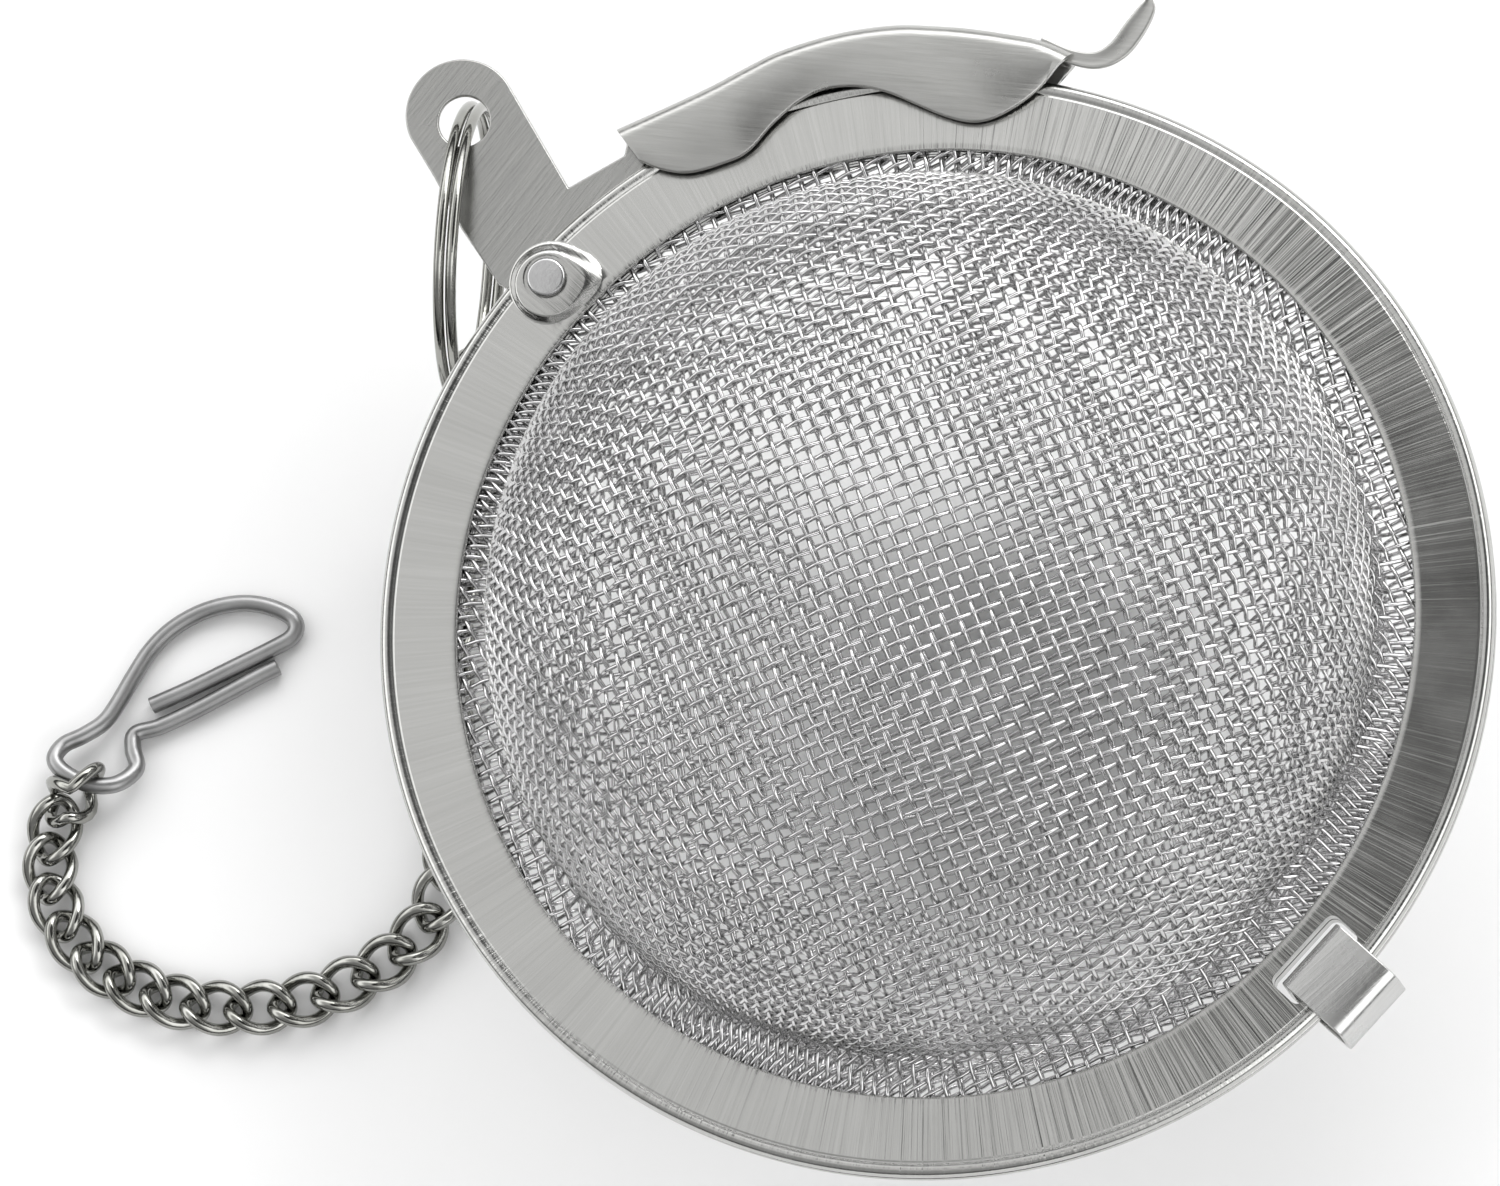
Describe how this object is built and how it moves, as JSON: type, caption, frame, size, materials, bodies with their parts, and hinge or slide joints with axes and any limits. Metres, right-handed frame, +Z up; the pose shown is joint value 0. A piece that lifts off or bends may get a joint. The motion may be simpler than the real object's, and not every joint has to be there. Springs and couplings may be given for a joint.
{
  "type": "tea infuser",
  "caption": "Spherical stainless mesh tea infuser: two rimmed halves on a strap hinge, a riveted latch lever, a split ring, a curb chain and an end hook.",
  "frame": {"origin": "centre of the flat pole of the lower half, on the surface the closed ball stands on", "axes": "+Z up along the ball's axis, through both poles; the latch rivet is towards -X +Y and the hinge strap opposite it, towards +X -Y"},
  "size_m": [0.0899, 0.0694, 0.0493],
  "materials": {
    "satin_steel": "satin, brushed",
    "woven_steel": "bright drawn wire, plain weave",
    "bright_steel": "bright",
    "stamped_steel": "stamped, satin",
    "wire_steel": "drawn wire, dull"
  },
  "bodies": {
    "lower_half": {"lower_rim": "satin_steel", "lower_mesh_bowl": "woven_steel"},
    "upper_half": {"upper_rim": "satin_steel", "upper_mesh_bowl": "woven_steel", "latch_rivet": "bright_steel"},
    "strap": {"hinge_strap": "stamped_steel"},
    "lever": {"latch_lever": "stamped_steel"},
    "ring": {"split_ring": "bright_steel"},
    "link_01": {"chain_link_01": "bright_steel"},
    "link_02": {"chain_link_02": "bright_steel"},
    "link_03": {"chain_link_03": "bright_steel"},
    "link_04": {"chain_link_04": "bright_steel"},
    "link_05": {"chain_link_05": "bright_steel"},
    "link_06": {"chain_link_06": "bright_steel"},
    "link_07": {"chain_link_07": "bright_steel"},
    "link_08": {"chain_link_08": "bright_steel"},
    "link_09": {"chain_link_09": "bright_steel"},
    "link_10": {"chain_link_10": "bright_steel"},
    "link_11": {"chain_link_11": "bright_steel"},
    "link_12": {"chain_link_12": "bright_steel"},
    "link_13": {"chain_link_13": "bright_steel"},
    "link_14": {"chain_link_14": "bright_steel"},
    "link_15": {"chain_link_15": "bright_steel"},
    "link_16": {"chain_link_16": "bright_steel"},
    "link_17": {"chain_link_17": "bright_steel"},
    "link_18": {"chain_link_18": "bright_steel"},
    "link_19": {"chain_link_19": "bright_steel"},
    "link_20": {"chain_link_20": "bright_steel"},
    "link_21": {"chain_link_21": "bright_steel"},
    "link_22": {"chain_link_22": "bright_steel"},
    "link_23": {"chain_link_23": "bright_steel"},
    "link_24": {"chain_link_24": "bright_steel"},
    "link_25": {"chain_link_25": "bright_steel"},
    "link_26": {"chain_link_26": "bright_steel"},
    "link_27": {"chain_link_27": "bright_steel"},
    "link_28": {"chain_link_28": "bright_steel"},
    "hook": {"end_hook": "wire_steel"}
  },
  "joints": [
    {"name": "half_hinge", "type": "hinge", "parent": "lower_half", "child": "upper_half", "pos_m": [0.02423, -0.02181, 0.02465], "axis": [0.6691, 0.7431, 0], "range_deg": [0, 110]},
    {"name": "strap_turn", "type": "hinge", "parent": "lower_half", "child": "strap", "pos_m": [0.02423, -0.02181, 0.02465], "axis": [0.6691, 0.7431, 0], "range_deg": [0, 55]},
    {"name": "latch_turn", "type": "hinge", "parent": "upper_half", "child": "lever", "pos_m": [-0.02296, 0.02068, 0.02465], "axis": [0, 0, 1], "range_deg": [0, 35]},
    {"name": "ring_swivel", "type": "hinge", "parent": "lever", "child": "ring", "pos_m": [-0.02822, 0.02985, 0.02465], "axis": [0, 0, 1], "range_deg": [-35, 0]},
    {"name": "ring_slide", "type": "hinge", "parent": "ring", "child": "link_01", "pos_m": [-0.02864, 0.02385, 0.01864], "axis": [0.9976, -0.0698, 0], "range_deg": [-20, 38]},
    {"name": "link_joint_02", "type": "hinge", "parent": "link_01", "child": "link_02", "pos_m": [-0.02912, 0.01698, 0.00982], "axis": [0.9841, -0.1776, 0], "range_deg": [-10, 10]},
    {"name": "link_joint_03", "type": "hinge", "parent": "link_02", "child": "link_03", "pos_m": [-0.02956, 0.01571, 0.0076], "axis": [0.2844, 0.7979, -0.5314], "range_deg": [-10, 10]},
    {"name": "link_joint_04", "type": "hinge", "parent": "link_03", "child": "link_04", "pos_m": [-0.03005, 0.01438, 0.00542], "axis": [-0.9305, 0.3663, 0], "range_deg": [-10, 10]},
    {"name": "link_joint_05", "type": "hinge", "parent": "link_04", "child": "link_05", "pos_m": [-0.03068, 0.01286, 0.00341], "axis": [-0.2473, -0.625, 0.7404], "range_deg": [-10, 10]},
    {"name": "link_joint_06", "type": "hinge", "parent": "link_05", "child": "link_06", "pos_m": [-0.03145, 0.01084, 0.00197], "axis": [0.9509, -0.3096, 0], "range_deg": [-10, 10]},
    {"name": "link_joint_07", "type": "hinge", "parent": "link_06", "child": "link_07", "pos_m": [-0.03211, 0.00847, 0.00113], "axis": [0.0398, 0.1937, -0.9802], "range_deg": [-10, 10]},
    {"name": "link_joint_08", "type": "hinge", "parent": "link_07", "child": "link_08", "pos_m": [-0.03246, 0.00591, 0.00095], "axis": [-0.9972, 0.075, 0], "range_deg": [-10, 10]},
    {"name": "link_joint_09", "type": "hinge", "parent": "link_08", "child": "link_09", "pos_m": [-0.0325, 0.00331, 0.00091], "axis": [0.0001, -0.0067, 1], "range_deg": [-10, 10]},
    {"name": "link_joint_10", "type": "hinge", "parent": "link_09", "child": "link_10", "pos_m": [-0.03242, 0.00071, 0.00092], "axis": [0.9993, 0.0376, 0], "range_deg": [-10, 10]},
    {"name": "link_joint_11", "type": "hinge", "parent": "link_10", "child": "link_11", "pos_m": [-0.03231, -0.00188, 0.00093], "axis": [0.0002, -0.0028, -1], "range_deg": [-10, 10]},
    {"name": "link_joint_12", "type": "hinge", "parent": "link_11", "child": "link_12", "pos_m": [-0.0321, -0.00447, 0.00093], "axis": [-0.9974, -0.0715, 0], "range_deg": [-10, 10]},
    {"name": "link_joint_13", "type": "hinge", "parent": "link_12", "child": "link_13", "pos_m": [-0.03193, -0.00706, 0.00093], "axis": [0, 0, 1], "range_deg": [-10, 10]},
    {"name": "link_joint_14", "type": "hinge", "parent": "link_13", "child": "link_14", "pos_m": [-0.03223, -0.00964, 0.00093], "axis": [0.9741, -0.226, 0], "range_deg": [-10, 10]},
    {"name": "link_joint_15", "type": "hinge", "parent": "link_14", "child": "link_15", "pos_m": [-0.0331, -0.01209, 0.00093], "axis": [0, 0, -1], "range_deg": [-10, 10]},
    {"name": "link_joint_16", "type": "hinge", "parent": "link_15", "child": "link_16", "pos_m": [-0.03481, -0.01405, 0.00093], "axis": [-0.652, 0.7582, 0], "range_deg": [-10, 10]},
    {"name": "link_joint_17", "type": "hinge", "parent": "link_16", "child": "link_17", "pos_m": [-0.037, -0.01544, 0.00093], "axis": [0, 0, 1], "range_deg": [-10, 10]},
    {"name": "link_joint_18", "type": "hinge", "parent": "link_17", "child": "link_18", "pos_m": [-0.03935, -0.01654, 0.00093], "axis": [0.3317, -0.9434, 0], "range_deg": [-10, 10]},
    {"name": "link_joint_19", "type": "hinge", "parent": "link_18", "child": "link_19", "pos_m": [-0.04188, -0.01716, 0.00093], "axis": [0, 0, -1], "range_deg": [-10, 10]},
    {"name": "link_joint_20", "type": "hinge", "parent": "link_19", "child": "link_20", "pos_m": [-0.04447, -0.01732, 0.00093], "axis": [0.0076, 1, 0], "range_deg": [-10, 10]},
    {"name": "link_joint_21", "type": "hinge", "parent": "link_20", "child": "link_21", "pos_m": [-0.04706, -0.01712, 0.00093], "axis": [0, 0, 1], "range_deg": [-10, 10]},
    {"name": "link_joint_22", "type": "hinge", "parent": "link_21", "child": "link_22", "pos_m": [-0.04935, -0.01645, 0.00093], "axis": [-0.354, -0.9352, 0], "range_deg": [-10, 10]},
    {"name": "link_joint_23", "type": "hinge", "parent": "link_22", "child": "link_23", "pos_m": [-0.0515, -0.01544, 0.00093], "axis": [0, 0, -1], "range_deg": [-10, 10]},
    {"name": "link_joint_24", "type": "hinge", "parent": "link_23", "child": "link_24", "pos_m": [-0.05345, -0.01407, 0.00093], "axis": [0.6911, 0.7228, 0], "range_deg": [-10, 10]},
    {"name": "link_joint_25", "type": "hinge", "parent": "link_24", "child": "link_25", "pos_m": [-0.0549, -0.01219, 0.00093], "axis": [0.0002, -0.0003, 1], "range_deg": [-10, 10]},
    {"name": "link_joint_26", "type": "hinge", "parent": "link_25", "child": "link_26", "pos_m": [-0.05576, -0.00997, 0.00093], "axis": [-0.9822, -0.1879, 0], "range_deg": [-10, 10]},
    {"name": "link_joint_27", "type": "hinge", "parent": "link_26", "child": "link_27", "pos_m": [-0.05578, -0.00759, 0.00099], "axis": [0.0065, 0.0635, -0.998], "range_deg": [-10, 10]},
    {"name": "link_joint_28", "type": "hinge", "parent": "link_27", "child": "link_28", "pos_m": [-0.0553, -0.0054, 0.00123], "axis": [0.8559, -0.5171, 0], "range_deg": [-10, 10]},
    {"name": "hook_swing", "type": "hinge", "parent": "link_28", "child": "hook", "pos_m": [-0.0535, -0.00369, 0.00197], "axis": [-0.208, -0.1993, 0.9576], "range_deg": [-6, 6]}
  ],
  "couplings": [
    {"joint": "strap_turn", "follows": "half_hinge", "ratio": 0.5},
    {"joint": "ring_swivel", "follows": "latch_turn", "ratio": -1}
  ]
}
